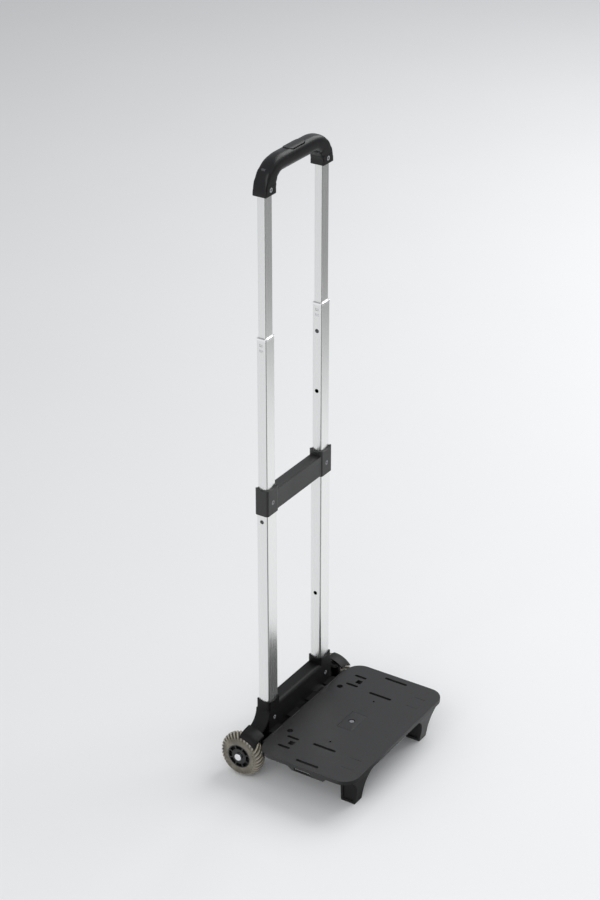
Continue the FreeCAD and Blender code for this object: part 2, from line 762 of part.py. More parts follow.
for name, side in sides:
    x = side * postX
    baseParts.append(roundedBar(f"collar{name}", x, postY, s.collarBottom, collarHornTop, s.collarWidth,
                                s.collarDepth, s.collarCorner))
    baseTools += hornCutter(f"collarHorn{name}", x, collarHornTop, s.collarWidth, s.collarDepth, s.hornHeight)
    baseTools.append(roundedBar(f"collarSeat{name}", x, postY, s.lowerTubeBottom, collarHornTop + 1,
                                s.lowerWidth, s.lowerDepth, s.lowerCorner))
    # arm: as deep as the collar, flaring outward in a quarter circle, with a step back to the axle below
    flareX = side * (collarOuter + s.flareRadius)
    upperArm = sideBlock(f"armUpper{name}", side, armInner, armOuter, (frontFace, backFace),
                         (s.armBottom, s.armShoulder))
    above = cylinder(f"flareRound{name}", "y", (flareX, frontFace - 1, s.armShoulder), s.flareRadius, armLength)
    beyond = sideBlock(f"flareBeyond{name}", side, collarOuter + s.flareRadius, armOuter + 1,
                       (frontFace - 1, backFace + 1), (s.armShoulder - s.flareRadius, s.armShoulder + 1))
    under = cut(f"flareUnder{name}",
                sideBlock(f"flareRoom{name}", side, collarOuter, armOuter - s.flareWall,
                          (frontFace - 1, frontFace + s.flareRecess), (s.armBottom + s.baseWall, s.armShoulder)),
                cylinder(f"flareShell{name}", "y", (flareX, frontFace - 2, s.armShoulder),
                         s.flareRadius + s.flareWall, armLength))
    lowerArm = sideBlock(f"armLower{name}", side, armInner, armOuter, (postY, axleY + s.armBack),
                         (s.armBottom, s.armStep))
    baseParts.append(fuse(f"arm{name}", cut(f"armShell{name}", upperArm, above, beyond, under), lowerArm))
    # fender over the wheel: a thin curved cover that follows the tyre's crown
    window = doc.addObject("Part::Common", f"fender{name}")
    window.Base = turned(f"fenderCover{name}", [(side * across, radius) for across, radius in fenderSection],
                         side * wheelCentre)
    window.Tool = sideBlock(f"fenderArc{name}", side, armOuter - s.baseWall - 1, wheelCentre + s.fenderEdge + 1,
                            (axleY - s.fenderFront, axleY - s.fenderRear), (axleZ, axleZ + 2 * s.wheelRadius))
    baseParts.append(window)
    baseTools.append(cylinder(f"axleHole{name}", "x", (side * wheelCentre - wheelCentre / 2, axleY, axleZ),
                              s.axleRadius, wheelCentre))

# hinge knuckles: the base carries every second one, the platform the rest
knuckleStep = 2 * s.hingeHalf / s.knuckleCount
knuckles = int(s.knuckleCount.number)


def knuckle(name, number, y, z):
    """One knuckle barrel with the web that joins it to its leaf."""
    start = -s.hingeHalf + number * knuckleStep + s.knuckleGap / 2
    length = knuckleStep - s.knuckleGap
    barrel = cylinder(f"{name}Barrel{number}", "x", (start, hingeY, hingeZ), s.knuckleRadius, length)
    web = block(f"{name}Web{number}", (start, y[0], z[0]), (start + length, y[1], z[1]))
    return [barrel, web]


hingeHole = cylinder("hingeHole", "x", (-s.hingeHalf - 1, hingeY, hingeZ), s.hingeBore, 2 * s.hingeHalf + 2)
for number in range(1, knuckles, 2):
    baseParts += knuckle("base", number, (hingeY, postY - s.beamBack + 1),
                         (hingeZ - s.knuckleRadius, hingeZ + s.knuckleRadius))
baseTools.append(hingeHole)
baseParts.append(block("ledge", (-postX, frontFace - s.ledgeReach, s.ledgeTop - s.ledgeThickness),
                       (postX, postY, s.ledgeTop)))
baseParts.append(block("ledgeWall", (-postX, frontFace, s.ledgeTop - s.ledgeThickness),
                       (postX, frontFace + s.baseWall, s.beamBottom + 1)))
baseTip = postY - s.lowerDepth / 2 + s.tubeWall + 2
baseSeat = frontFace + s.screwSink
baseTools += screwHoles("baseScrew", baseSeat, s.baseScrewHeight, baseTip, s.screwHead + s.slip)
screws("base_screws", baseSeat, s.baseScrewHeight, baseTip)
keep("base_frame", cut("baseFrame", fuse("baseWhole", *baseParts), *baseTools))
keep("hinge_pin", cylinder("hingePin", "x", (-s.hingeHalf, hingeY, hingeZ), s.hingePin, 2 * s.hingeHalf))


# ---- platform ----

deckBack = hingeY - s.deckToHinge


def deckOutline(name, low, high, inset):
    """The platform's outline, pulled in by the inset."""
    front, back = frontY + inset, deckBack - inset
    return roundedBar(name, 0, (front + back) / 2, low, high, 2 * (s.deckHalfWidth - inset), back - front,
                      s.deckCorner - inset)


# the plate, with a wall round its underside and ribs across it
deckParts = [deckOutline("deckPlate", deckLow, s.deckTop, size(0)),
             cut("deckWall", deckOutline("deckWallOutside", deckLow - s.deckLip + s.deckPlate, deckLow + 1, size(0)),
                 deckOutline("deckWallInside", deckLow - s.deckLip + s.deckPlate - 1, deckLow + 2, s.ribWidth))]
deckTools = []
ribLow = deckLow - s.ribDepth
ribReach = s.deckHalfWidth - s.ribWidth / 2
for number, along in enumerate((s.firstRib, s.secondRib, s.thirdRib)):
    y = hingeY - along
    deckParts.append(block(f"crossRib{number}", (-ribReach, y - s.ribWidth, ribLow), (ribReach, y, deckLow + 1)))
for number, across in enumerate((-s.outerRib, -s.innerRib, s.innerRib, s.outerRib)):
    deckParts.append(block(f"longRib{number}", (across - s.ribWidth / 2, frontY + 6, ribLow),
                           (across + s.ribWidth / 2, deckBack - 1, deckLow + 1)))


def opening(name, x, fromHinge, width, length, radius):
    """A hole through the plate, with a rim round it on the underside."""
    y = hingeY - fromHinge
    deckParts.append(roundedBar(name + "Rim", x, y, ribLow, deckLow + 1, width + 2 * s.rimWall,
                                length + 2 * s.rimWall, radius + s.rimWall))
    deckTools.append(roundedBar(name, x, y, ribLow - 4, s.deckTop + 5, width, length, radius))


skirtLow = s.deckTop - s.skirtDepth
for name, side in sides:
    edge = side * s.deckHalfWidth
    skirt = sideProfile(f"skirt{name}", [(hingeY - s.skirtFrontFoot, skirtLow), (hingeY - s.skirtRearFoot, skirtLow),
                                         (hingeY - s.skirtRear, deckLow + 1), (hingeY - s.skirtFront, deckLow + 1)],
                        edge if side < 0 else edge - s.skirtWall, s.skirtWall)
    deckParts.append(skirt)
    slotRear = hingeY - s.skirtSlotRear
    slotLow = skirtLow + s.skirtSlotRise
    deckTools.append(sideBlock(f"skirtSlot{name}", side, s.deckHalfWidth - s.skirtWall - 1, s.deckHalfWidth + 1,
                               (slotRear - s.skirtSlotLength, slotRear), (slotLow, slotLow + s.skirtSlotHeight)))
    holeX, holeY = side * s.deckHoleSpacing / 2, hingeY - s.deckHoleFromHinge
    deckParts.append(cylinder(f"deckHoleRim{name}", "z", (holeX, holeY, ribLow), s.deckHole + s.rimWall,
                              deckLow + 1 - ribLow))
    deckTools.append(cylinder(f"deckHole{name}", "z", (holeX, holeY, ribLow - 4), s.deckHole, 20))
    slotRound = s.slotWidth / 2 - 0.01
    for kind, x in (("In", s.shortSlotInner), ("Out", s.shortSlotOuter)):
        opening(f"shortSlot{kind}{name}", side * x, s.shortSlotFromHinge, s.slotWidth, s.shortSlotLength, slotRound)
    for kind, x in (("In", s.longSlotInner), ("Out", s.longSlotOuter)):
        opening(f"longSlot{kind}{name}", side * x, s.longSlotFromHinge, s.slotWidth, s.longSlotLength, slotRound)
    opening(f"squareHole{name}", side * s.squareHoleAcross, s.squareHoleFromHinge, s.squareHole, s.squareHole,
            size(0.4))
    deckTools.append(cylinder(f"smallHole{name}", "z", (side * s.smallHoleAcross, hingeY - s.smallHoleFromHinge,
                                                        ribLow - 4), s.smallHole, 20))
for number in range(0, knuckles, 2):
    deckParts += knuckle("deck", number, (deckBack - 2, hingeY), (deckLow, s.deckTop))
rivetY = hingeY - s.rivetFromHinge
deckTools.append(cylinder("rivetSeat", "z", (0, rivetY, s.deckTop - 1), s.rivetRecess, 2))
deckTools.append(cylinder("rivetHole", "z", (0, rivetY, deckLow - 10), s.screwShank, 20))
baseClear = [block(f"knuckleRoom{number}", (-s.hingeHalf + number * knuckleStep - 0.1, deckBack, deckLow - 9),
                   (-s.hingeHalf + (number + 1) * knuckleStep + 0.1, hingeY + 5, s.deckTop + 1))
             for number in range(1, knuckles, 2)]
keep("platform_deck", cut("platformDeck", fuse("deckWhole", *deckParts), *deckTools, *baseClear, hingeHole))
rivetHead = cylinder("rivetHead", "z", (0, rivetY, s.deckTop - 1), s.rivetRadius, 0.8)
rivetShank = cylinder("rivetShank", "z", (0, rivetY, deckLow - 1), s.screwShank, s.deckPlate + 0.5)
keep("deck_rivet", fuse("deckRivet", rivetHead, rivetShank))

# ---- feet ----

footTop = ribLow
for name, side in sides:
    y = frontY
    leg = sideProfile(f"leg{name}", [(y + s.footFrontBottom, 0), (y + s.footRearBottom, 0),
                                     (y + s.footRearTop, footTop), (y + s.footFrontTop + 1, footTop)],
                      s.footInner if side > 0 else -s.footOuter, s.footOuter - s.footInner)
    slope = sideProfile(f"webSlope{name}", [(y + s.footFrontBottom, 0), (y + s.footFrontBottom + s.webThickness, 0),
                                            (y + s.footFrontTop + 1 + s.webThickness, footTop),
                                            (y + s.footFrontTop + 1, footTop)],
                        s.footInner - s.archRadius if side > 0 else -s.webOuter,
                        s.webOuter - s.footInner + s.archRadius)
    scoops = [cylinder(f"webOutside{name}", "y", (side * (s.footOuter + s.scoopRadius), y, footTop - s.scoopDrop),
                       s.scoopRadius, 60),
              sideBlock(f"webBelow{name}", side, s.footOuter, s.webOuter + 20, (y, y + 60),
                        (-10, footTop - s.scoopDrop)),
              cylinder(f"webArch{name}", "y", (side * (s.footInner - s.archRadius), y, footTop - s.archRadius - 1),
                       s.archRadius, 60),
              sideBlock(f"webInside{name}", side, s.footInner - s.archRadius - 20, s.footInner, (y, y + 60),
                        (-10, footTop - s.archRadius - 1))]
    panelY = (y + s.footFrontBottom + s.webThickness, y + s.footRearBottom - s.webThickness)
    panelZ = (s.panelMargin, footTop - s.panelMargin)
    panels = [sideBlock(f"legPanelIn{name}", side, s.footInner - 1, s.footInner + s.panelDepth, panelY, panelZ),
              sideBlock(f"legPanelOut{name}", side, s.footOuter - s.panelDepth, s.footOuter + 1, panelY, panelZ)]
    web = cut(f"web{name}", slope, *scoops)
    keep(f"front_foot_{name}", fuse(f"frontFoot{name}", cut(f"legShell{name}", leg, *panels), web))


# ---- wheels ----

half = s.wheelWidth / 2
tyreCorners = [(-half, s.hubRadius), (half, s.hubRadius)]
crownSteps = 12
crownEdge = math.asin((half / s.treadCrown).number)
for i in range(crownSteps + 1):
    angle = crownEdge * (1 - 2 * i / crownSteps)
    tyreCorners.append((s.treadCrown * math.sin(angle), s.wheelRadius - s.treadCrown * (1 - math.cos(angle))))
for name, side in sides:
    x = side * wheelCentre
    keep(f"tyre_{name}", turned(f"tyre{name}", tyreCorners, x))
    hub = turned(f"hub{name}", [(-half, s.bearingRadius), (-half, s.hubRadius), (half, s.hubRadius),
                                (half, s.bearingRadius), (half - s.bearingWidth, s.bearingRadius),
                                (half - s.bearingWidth, s.bearingRadius - s.bearingLip),
                                (-half + s.bearingWidth, s.bearingRadius - s.bearingLip),
                                (-half + s.bearingWidth, s.bearingRadius)], x)
    # windows: pockets in both faces, with spokes between them
    pockets = [ring(f"windowRing{name}{end}", "x", (start, axleY, axleZ), s.windowOuter, s.windowInner,
                    s.windowDepth + 1)
               for end, start in (("In", x - half - 1), ("Out", x + half - s.windowDepth))]
    spokes = []
    for number in range(int(s.spokeCount.number)):
        turn = Rotation(Vector(1, 0, 0), (number + 0.5) * 360 / s.spokeCount.number)
        shift = turn.multVec(Vector(0, -s.spokeWidth.number / 2, 0))
        spoke = block(f"spoke{name}{number}", (x - half - 2, axleY + shift.y, axleZ + shift.z),
                      (x + half + 2, axleY + shift.y + s.spokeWidth, axleZ + shift.z + s.windowOuter + 1))
        spoke.Placement.Rotation = turn
        spokes.append(spoke)
    keep(f"hub_{name}", cut(f"hubShell{name}", hub, cut(f"windows{name}", group(f"pockets{name}", *pockets), *spokes)))
    innerBearing = ring(f"bearingA{name}", "x", (x - half, axleY, axleZ), s.bearingRadius, s.bearingBore,
                        s.bearingWidth)
    outerBearing = ring(f"bearingB{name}", "x", (x + half - s.bearingWidth, axleY, axleZ), s.bearingRadius,
                        s.bearingBore, s.bearingWidth)
    keep(f"wheel_bearings_{name}", group(f"bearings{name}", innerBearing, outerBearing))
    keep(f"bearing_spacer_{name}", ring(f"spacer{name}", "x", (x - half + s.bearingWidth, axleY, axleZ),
                                        s.bearingBore + s.spacerWall, s.bearingBore, s.wheelWidth - 2 * s.bearingWidth))

axleEnd = wheelCentre + half + s.hubClearance + s.washer
keep("axle", cylinder("axleRod", "x", (-axleEnd, axleY, axleZ), s.axleRadius, 2 * axleEnd))
caps, washers = [], []
for name, side in sides:
    start = axleEnd if side > 0 else -axleEnd - s.axleCapWidth
    caps.append(cylinder(f"axleCap{name}", "x", (start, axleY, axleZ), s.axleCapRadius, s.axleCapWidth))
    for place, at, thick in (("Out", axleEnd - s.washer, s.washer),
                             ("In", armOuter, wheelCentre - half - s.hubClearance - armOuter)):
        start = at if side > 0 else -(at + thick)
        washers.append(ring(f"washer{place}{name}", "x", (start, axleY, axleZ), s.axleCapRadius + 1, s.axleRadius,
                            thick))
keep("axle_caps", group("axleCaps", *caps))
keep("axle_washers", group("axleWashers", *washers))


# ---- checks and files ----

doc.recompute()
for thing in doc.Objects:
    if {"Invalid", "Error"} & set(thing.State):
        raise RuntimeError(f"{thing.Name} failed: {thing.State}")
for label, thing in nodes.items():
    if thing.Shape.isNull() or not thing.Shape.isValid():
        raise RuntimeError(f"{label} has no valid shape")
os.makedirs("parts", exist_ok=True)
for label, thing in nodes.items():
    thing.Shape.exportStep(f"parts/{label}.step")
    print(f"{label:26s} {len(thing.Shape.Solids)} solids, {thing.Shape.Volume / 1000:8.2f} cm3")
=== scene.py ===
import json
import math
import bpy
import bmesh
from mathutils import Vector, Matrix


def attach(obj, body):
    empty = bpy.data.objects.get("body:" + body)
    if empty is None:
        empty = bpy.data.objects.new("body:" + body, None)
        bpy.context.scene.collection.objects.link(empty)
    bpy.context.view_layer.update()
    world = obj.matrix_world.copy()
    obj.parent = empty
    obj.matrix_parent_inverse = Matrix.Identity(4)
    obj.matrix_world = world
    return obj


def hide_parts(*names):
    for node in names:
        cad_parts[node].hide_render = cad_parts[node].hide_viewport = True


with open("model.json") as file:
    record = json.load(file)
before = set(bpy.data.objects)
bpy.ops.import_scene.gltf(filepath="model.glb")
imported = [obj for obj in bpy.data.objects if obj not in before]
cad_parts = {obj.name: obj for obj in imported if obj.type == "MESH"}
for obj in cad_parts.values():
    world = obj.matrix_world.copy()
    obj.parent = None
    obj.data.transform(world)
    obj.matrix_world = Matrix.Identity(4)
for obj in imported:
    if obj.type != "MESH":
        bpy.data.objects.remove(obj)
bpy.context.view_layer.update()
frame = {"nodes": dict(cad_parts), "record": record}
sides = (("left", -1), ("right", 1))


# Working in object and edit mode

def clearSelection():
    if bpy.context.mode != "OBJECT":
        bpy.ops.object.mode_set(mode="OBJECT")
    bpy.ops.object.select_all(action="DESELECT")


def useOnly(piece):
    clearSelection()
    piece.select_set(True)
    bpy.context.view_layer.objects.active = piece


def settle(piece, name):
    useOnly(piece)
    bpy.ops.object.transform_apply(location=True, rotation=True, scale=True)
    piece.name = name
    piece.data.name = name
    return piece


def modify(piece, kind, **settings):
    useOnly(piece)
    modifier = piece.modifiers.new(kind.lower(), kind)
    for key, value in settings.items():
        setattr(modifier, key, value)
    bpy.ops.object.modifier_apply(modifier=modifier.name)


def block(name, low, high):
    clearSelection()
    low, high = Vector(low), Vector(high)
    bpy.ops.mesh.primitive_cube_add(size=1, location=(low + high) / 2)
    piece = bpy.context.object
    piece.scale = high - low
    return settle(piece, name)


def rod(name, axis, start, length, radius, vertices=48):
    clearSelection()
    turns = {"x": (0, math.pi / 2, 0), "y": (-math.pi / 2, 0, 0), "z": (0, 0, 0)}
    step = {"x": Vector((1, 0, 0)), "y": Vector((0, 1, 0)), "z": Vector((0, 0, 1))}[axis]
    bpy.ops.mesh.primitive_cylinder_add(vertices=vertices, radius=radius, depth=length,
                                        location=Vector(start) + step * length / 2, rotation=turns[axis])
    return settle(bpy.context.object, name)


def subtract(piece, *cutters):
    for cutter in cutters:
        modify(piece, "BOOLEAN", operation="DIFFERENCE", solver="EXACT", object=cutter)
        bpy.data.objects.remove(cutter)


def unite(piece, *others):
    for other in others:
        modify(piece, "BOOLEAN", operation="UNION", solver="EXACT", object=other)
        bpy.data.objects.remove(other)


def softCopy(node, name, width, segments=2, angle=32):
    source = frame["nodes"][node]
    clearSelection()
    piece = bpy.data.objects.new(name, source.data.copy())
    bpy.context.collection.objects.link(piece)
    piece.data.name = name
    piece.data.materials.clear()
    useOnly(piece)
    bpy.ops.object.mode_set(mode="EDIT")
    bpy.ops.mesh.select_all(action="SELECT")
    bpy.ops.mesh.remove_doubles(threshold=0.000004)
    bpy.ops.mesh.dissolve_limited(angle_limit=math.radians(0.5))
    bpy.ops.object.mode_set(mode="OBJECT")
    if width:
        modify(piece, "BEVEL", width=width, segments=segments, limit_method="ANGLE",
               angle_limit=math.radians(angle), use_clamp_overlap=True)
    smooth(piece, 35)
    return piece


def smooth(piece, angle=35):
    # the large flat faces keep their own normals, so light doesn't fan across them
    useOnly(piece)
    bpy.ops.object.shade_smooth_by_angle(angle=math.radians(angle))
    modify(piece, "WEIGHTED_NORMAL", keep_sharp=True, weight=100)


def finishPiece(piece, material, body, slot, *nodes):
    piece.data.materials.clear()
    piece.data.materials.append(material)
    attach(piece, body)
    if nodes:
        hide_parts(*nodes)
    return piece


print("camera, floor and light")

viewSettings = {
    "aim": (-0.0144, 0.0492, 0.4921),
    "azimuth": -57.42,
    "elevation": 27.74,
    "distance": 3.179,
    "lens": 91.48,
}


def makeCamera():
    azimuth = math.radians(viewSettings["azimuth"])
    elevation = math.radians(viewSettings["elevation"])
    back = Vector((math.sin(azimuth) * math.cos(elevation), -math.cos(azimuth) * math.cos(elevation),
                   math.sin(elevation)))
    clearSelection()
    bpy.ops.object.camera_add(location=Vector(viewSettings["aim"]) + back * viewSettings["distance"],
                              rotation=(-back).to_track_quat("-Z", "Y").to_euler())
    camera = bpy.context.object
    camera.name = "viewCamera"
    camera.data.lens = viewSettings["lens"]
    camera.data.sensor_width = 36
    camera.data.clip_end = 80
    bpy.context.scene.camera = camera


def startMaterial(name):
    material = bpy.data.materials.new(name)
    material.use_nodes = True
    tree = material.node_tree
    shader = tree.nodes["Principled BSDF"]
    return material, tree, shader


def addNode(tree, kind, inputs=(), **settings):
    node = tree.nodes.new(kind)
    for key, value in settings.items():
        setattr(node, key, value)
    for key, value in dict(inputs).items():
        if isinstance(value, bpy.types.NodeSocket):
            tree.links.new(value, node.inputs[key])
        else:
            node.inputs[key].default_value = value
    return node


# the floor's colour holds painted shade, and a darker painted reflection for glossy rays
floorSettings = {"near": 0.86, "far": 0.97, "size": 40.0, "mirrored": 0.30,
                 "fadeFrom": 0.8, "fadeTo": 4.0, "lowest": 0.6, "highest": 0.97,
                 "paintedReflectionSide": (0.843, -0.538, 0.0), "darkFrom": 0.85, "darkTo": 1.7, "plain": 0.98,
                 "lensSide": (-0.54, -0.84, 0.0), "stripFrom": 0.70, "stripTo": 0.88, "stripLevel": 0.25,
                 "slope": (0.0, -0.09, 0.0), "paintedShadeLean": 1.03}
lampSettings = {
    "key": {"location": (2.4, -0.6, 2.6), "size": 2.6, "power": 58},
    "fill": {"location": (-3.2, -0.6, 2.4), "size": 3.0, "power": 44},
}


def makeStage():
    clearSelection()
    bpy.ops.mesh.primitive_plane_add(size=floorSettings["size"], location=(0, 0, 0))
    floor = settle(bpy.context.object, "floor")
    material, tree, shader = startMaterial("floorPaper")
    shader.inputs["Roughness"].default_value = 0.9
    shader.inputs["Specular IOR Level"].default_value = 0.1
    place = addNode(tree, "ShaderNodeTexCoord")
    # painted shade: the floor's colour is darkest near the cart, lighter with distance and tilted along one
    # direction, standing in for how the light falls over the floor
    away = addNode(tree, "ShaderNodeVectorMath", {0: place.outputs["Object"]}, operation="LENGTH")
    paintedShadeFade = addNode(tree, "ShaderNodeMapRange", {"Value": away.outputs["Value"],
                                                "From Min": floorSettings["fadeFrom"],
                                                "From Max": floorSettings["fadeTo"],
                                                "To Min": floorSettings["near"], "To Max": floorSettings["far"]},
                   interpolation_type="SMOOTHSTEP")
    grain = addNode(tree, "ShaderNodeTexNoise", {"Vector": place.outputs["Object"], "Scale": 3.0, "Detail": 2.0})
    drift = addNode(tree, "ShaderNodeMapRange", {"Value": grain.outputs["Fac"], "To Min": 0.99, "To Max": 1.01})
    slope = addNode(tree, "ShaderNodeVectorMath", {0: place.outputs["Object"], 1: floorSettings["slope"]},
                    operation="DOT_PRODUCT")
    paintedShadeLean = addNode(tree, "ShaderNodeMath", {0: slope.outputs["Value"], 1: floorSettings["paintedShadeLean"]}, operation="ADD",
                   use_clamp=False)
    plain = addNode(tree, "ShaderNodeMath", {0: paintedShadeFade.outputs["Result"], 1: drift.outputs["Result"]},
                    operation="MULTIPLY")
    tilted = addNode(tree, "ShaderNodeMath", {0: plain.outputs[0], 1: paintedShadeLean.outputs[0]}, operation="MULTIPLY")
    level = addNode(tree, "ShaderNodeClamp", {"Value": tilted.outputs[0], "Min": floorSettings["lowest"],
                                              "Max": floorSettings["highest"]})
    # painted reflection: the metal faces that look this way see a darker room than the lens does, because glossy
    # rays are given a darker floor here, darker still in a strip on the lens's side
    toward = addNode(tree, "ShaderNodeVectorMath", {0: place.outputs["Object"], 1: floorSettings["paintedReflectionSide"]},
                     operation="DOT_PRODUCT")
    far = addNode(tree, "ShaderNodeMapRange", {"Value": toward.outputs["Value"],
                                               "From Min": floorSettings["darkFrom"],
                                               "From Max": floorSettings["darkTo"],
                                               "To Min": floorSettings["plain"],
                                               "To Max": floorSettings["mirrored"]},
                  interpolation_type="SMOOTHSTEP")
    heading = addNode(tree, "ShaderNodeVectorMath", {0: place.outputs["Object"]}, operation="NORMALIZE")
    nearLens = addNode(tree, "ShaderNodeVectorMath", {0: heading.outputs["Vector"],
                                                            1: floorSettings["lensSide"]},
                       operation="DOT_PRODUCT")
    paintedReflectionStrip = addNode(tree, "ShaderNodeMapRange", {"Value": nearLens.outputs["Value"],
                                                 "From Min": floorSettings["stripFrom"],
                                                 "From Max": floorSettings["stripTo"],
                                                 "To Min": 1.0, "To Max": floorSettings["stripLevel"]},
                    interpolation_type="SMOOTHSTEP")
    paintedReflectionShade = addNode(tree, "ShaderNodeMath", {0: far.outputs["Result"], 1: paintedReflectionStrip.outputs["Result"]},
                     operation="MULTIPLY")
    # glossy rays see the painted reflection shade, all other rays the painted floor shade
    path = addNode(tree, "ShaderNodeLightPath")
    seen = addNode(tree, "ShaderNodeMix", {"Factor": path.outputs["Is Glossy Ray"], "A": level.outputs[0],
                                           "B": paintedReflectionShade.outputs[0]})
    colour = addNode(tree, "ShaderNodeCombineColor", {"Red": seen.outputs[0], "Green": seen.outputs[0],
                                                      "Blue": seen.outputs[0]})
    tree.links.new(colour.outputs[0], shader.inputs["Base Color"])
    floor.data.materials.append(material)
    world = bpy.data.worlds.new("studio")
    bpy.context.scene.world = world
    world.use_nodes = True
    world.node_tree.nodes["Background"].inputs["Color"].default_value = (0.90, 0.92, 0.95, 1)
    world.node_tree.nodes["Background"].inputs["Strength"].default_value = 0.60
    for name, lamp in lampSettings.items():
        clearSelection()
        toward = Vector((0, 0, 0.3)) - Vector(lamp["location"])
        bpy.ops.object.light_add(type="AREA", location=lamp["location"],
                                 rotation=toward.to_track_quat("-Z", "Y").to_euler())
        light = bpy.context.object
        light.name = name + "Lamp"
        light.data.size = lamp["size"]
        light.data.energy = lamp["power"]


makeCamera()
makeStage()
bpy.context.scene.view_settings.view_transform = "Standard"

print("materials")


def mouldedPlastic(name, colour, roughness, grain, bump, lighter=1.25, mirror=0.5):
    material, tree, shader = startMaterial(name)
    shader.inputs["Specular IOR Level"].default_value = mirror
    shader.inputs["IOR"].default_value = 1.49
    place = addNode(tree, "ShaderNodeTexCoord")
    fine = addNode(tree, "ShaderNodeTexNoise", {"Vector": place.outputs["Object"], "Scale": grain, "Detail": 3.0,
                                                "Roughness": 0.6})
    broad = addNode(tree, "ShaderNodeTexNoise", {"Vector": place.outputs["Object"], "Scale": 14.0, "Detail": 4.0})
    shade = addNode(tree, "ShaderNodeMixRGB", {"Fac": broad.outputs["Fac"], "Color1": (*colour, 1),
                                               "Color2": (*(min(1, c * lighter) for c in colour), 1)})
    tree.links.new(shade.outputs["Color"], shader.inputs["Base Color"])
    gloss = addNode(tree, "ShaderNodeMapRange", {"Value": broad.outputs["Fac"], "From Min": 0.3, "From Max": 0.7,
                                                 "To Min": roughness - 0.05, "To Max": roughness + 0.06})
    tree.links.new(gloss.outputs["Result"], shader.inputs["Roughness"])
    relief = addNode(tree, "ShaderNodeBump", {"Height": fine.outputs["Fac"], "Strength": bump,
                                              "Distance": 0.0003})
    tree.links.new(relief.outputs["Normal"], shader.inputs["Normal"])
    return material


def drawnMetal(name, colour, roughness, across, along, bump):
    material, tree, shader = startMaterial(name)
    shader.inputs["Metallic"].default_value = 1.0
    place = addNode(tree, "ShaderNodeTexCoord")
    stretch = addNode(tree, "ShaderNodeMapping", {"Vector": place.outputs["Object"],
                                                  "Scale": (across, across, along)})
    lines = addNode(tree, "ShaderNodeTexNoise", {"Vector": stretch.outputs["Vector"], "Scale": 1.0, "Detail": 4.0,
                                                 "Roughness": 0.55})
    shade = addNode(tree, "ShaderNodeMixRGB", {"Fac": lines.outputs["Fac"],
                                               "Color1": (*(c * 0.90 for c in colour), 1),
                                               "Color2": (*(min(1, c * 1.08) for c in colour), 1)})
    tree.links.new(shade.outputs["Color"], shader.inputs["Base Color"])
    gloss = addNode(tree, "ShaderNodeMapRange", {"Value": lines.outputs["Fac"], "From Min": 0.3, "From Max": 0.7,
                                                 "To Min": roughness - 0.05, "To Max": roughness + 0.07})
    tree.links.new(gloss.outputs["Result"], shader.inputs["Roughness"])
    relief = addNode(tree, "ShaderNodeBump", {"Height": lines.outputs["Fac"], "Strength": bump,
                                              "Distance": 0.00015})
    tree.links.new(relief.outputs["Normal"], shader.inputs["Normal"])
    return material


# the last two radii bound the outer band of the tyre where painted highlight and shade are laid
tread = {"x": 0.123, "y": 0.0779, "z": 0.035, "grooves": 34, "lead": math.tan(math.radians(34)) / 0.034,
         "stripeInner": 0.0275, "stripeOuter": 0.0315}


